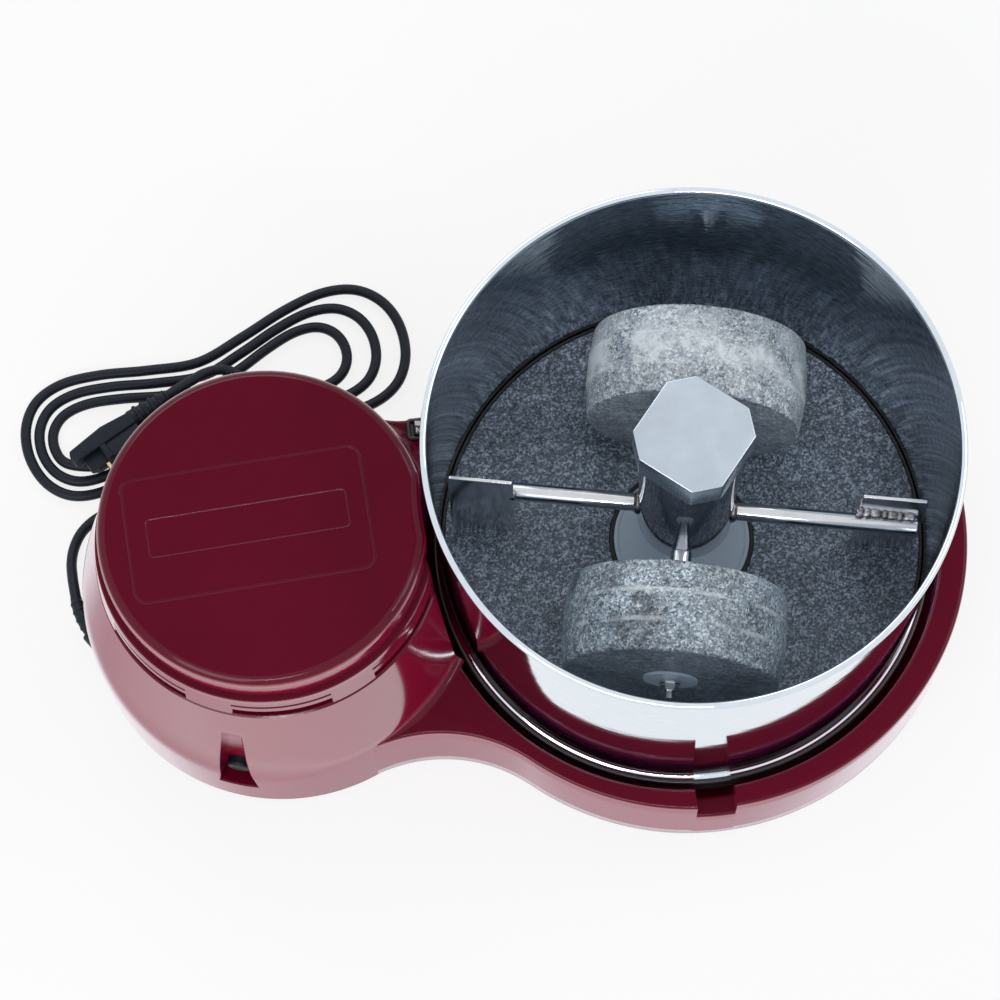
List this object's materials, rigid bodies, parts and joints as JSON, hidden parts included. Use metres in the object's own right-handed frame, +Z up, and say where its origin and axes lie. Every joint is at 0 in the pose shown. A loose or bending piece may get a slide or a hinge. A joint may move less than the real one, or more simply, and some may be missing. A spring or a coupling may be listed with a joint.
{
  "type": "chocolate melanger",
  "caption": "Table-top stone grinder: a vented motor housing beside an open steel drum with a granite floor, granite rollers on a sprung holder, tension knob, scrapers, switch and mains lead.",
  "frame": {"origin": "centre of the underside of the machine without its cord, on the floor plane under the feet", "axes": "+X from the motor housing to the drum, +Y towards the side with the switch, +Z up"},
  "size_m": [0.4281, 0.283, 0.205],
  "materials": {
    "maroon_plastic": "high gloss",
    "plate_steel": "zinc plated",
    "rubber": "matt",
    "screw_steel": "zinc plated",
    "cast_aluminium": "as cast",
    "lamination": "varnished laminations",
    "winding": "enamelled copper wire",
    "bright_steel": "polished",
    "mirror_steel": "mirror polished stainless steel",
    "dark_plastic": "satin",
    "pale_plastic": "moulded",
    "black_seal": "matt",
    "floor_granite": "ground, speckled",
    "roller_granite": "ground, speckled",
    "nylon": "moulded",
    "cord_rubber": "satin",
    "pin_brass": "plated"
  },
  "bodies": {
    "base": {"base_body": "maroon_plastic", "base_plate": "plate_steel", "rubber_feet": "rubber", "base_screws": "screw_steel", "motor_lid": "maroon_plastic", "motor_posts": "plate_steel", "motor_dampers": "rubber", "motor_lower_shield": "cast_aluminium", "motor_upper_shield": "cast_aluminium", "motor_stator": "lamination", "motor_windings": "winding", "motor_bearings": "bright_steel", "motor_tie_bolts": "screw_steel", "capacitor": "pale_plastic", "capacitor_clip": "plate_steel", "terminal_block": "pale_plastic", "drive_belt": "rubber", "spindle": "bright_steel", "spindle_bolts": "screw_steel", "switch_bezel": "dark_plastic", "reset_breaker": "dark_plastic", "cord_gland": "cord_rubber", "cord_lead": "cord_rubber", "cord_hank": "cord_rubber", "plug_body": "cord_rubber", "plug_pins": "pin_brass"},
    "drum": {"driven_pulley": "pale_plastic", "pulley_bearings": "bright_steel", "drive_plate": "plate_steel", "drive_pins": "screw_steel", "drum_shell": "mirror_steel", "drum_base": "dark_plastic", "granite_base": "floor_granite", "granite_seal": "black_seal", "drum_bush": "nylon", "bush_seal": "black_seal"},
    "motor_armature": {"motor_shaft": "bright_steel", "motor_rotor": "lamination", "motor_pulley": "cast_aluminium", "cooling_fan": "dark_plastic"},
    "roller_holder": {"holder_tube": "bright_steel", "holder_sleeve": "nylon", "tension_spring": "bright_steel", "roller_axles": "bright_steel", "axle_spacers": "bright_steel", "roller_washers": "bright_steel", "roller_nuts": "bright_steel", "scraper_rods": "bright_steel", "scraper_blades": "bright_steel"},
    "far_roller": {"roller_far": "roller_granite", "roller_bush_far": "nylon"},
    "near_roller": {"roller_near": "roller_granite", "roller_bush_near": "nylon"},
    "tension_washer": {"thrust_washer": "bright_steel"},
    "knob": {"tension_knob": "bright_steel"},
    "rocker": {"switch_rocker": "dark_plastic"},
    "button": {"reset_button": "dark_plastic"}
  },
  "joints": [
    {"name": "drum_spin", "type": "hinge", "parent": "base", "child": "drum", "pos_m": [0.0715, 0, 0], "axis": [0, 0, 1], "continuous": true},
    {"name": "motor_spin", "type": "hinge", "parent": "base", "child": "motor_armature", "pos_m": [-0.1115, 0, 0], "axis": [0, 0, 1], "continuous": true},
    {"name": "roller_lift", "type": "slide", "parent": "base", "child": "roller_holder", "axis": [0, 0, 1], "range_m": [0, 0.16]},
    {"name": "far_roller_spin", "type": "hinge", "parent": "roller_holder", "child": "far_roller", "pos_m": [0.0715, 0, 0.1016], "axis": [0.2079, 0.9781, 0], "continuous": true},
    {"name": "near_roller_spin", "type": "hinge", "parent": "roller_holder", "child": "near_roller", "pos_m": [0.0715, 0, 0.1016], "axis": [-0.2079, -0.9781, 0], "continuous": true},
    {"name": "knob_rise", "type": "slide", "parent": "roller_holder", "child": "tension_washer", "axis": [0, 0, 1], "range_m": [0, 0.0053], "deforming": ["tension_spring"]},
    {"name": "knob_turn", "type": "hinge", "parent": "tension_washer", "child": "knob", "pos_m": [0.0715, 0, 0.19], "axis": [0, 0, 1], "range_deg": [0, 1080]},
    {"name": "rocker_tilt", "type": "hinge", "parent": "base", "child": "rocker", "pos_m": [-0.03895, 0.06395, 0.056], "axis": [0, -1, 0], "range_deg": [0, 20]},
    {"name": "reset_press", "type": "slide", "parent": "base", "child": "button", "axis": [0.309, 0.9511, 0], "range_m": [0, 0.0025], "stiffness_N_per_m": 400}
  ],
  "couplings": [
    {"joint": "motor_spin", "follows": "drum_spin", "ratio": 8.1429},
    {"joint": "far_roller_spin", "follows": "drum_spin", "ratio": 1.1856},
    {"joint": "near_roller_spin", "follows": "drum_spin", "ratio": 1.1856},
    {"joint": "knob_rise", "follows": "knob_turn", "m_per_rad": 0.00027852}
  ]
}
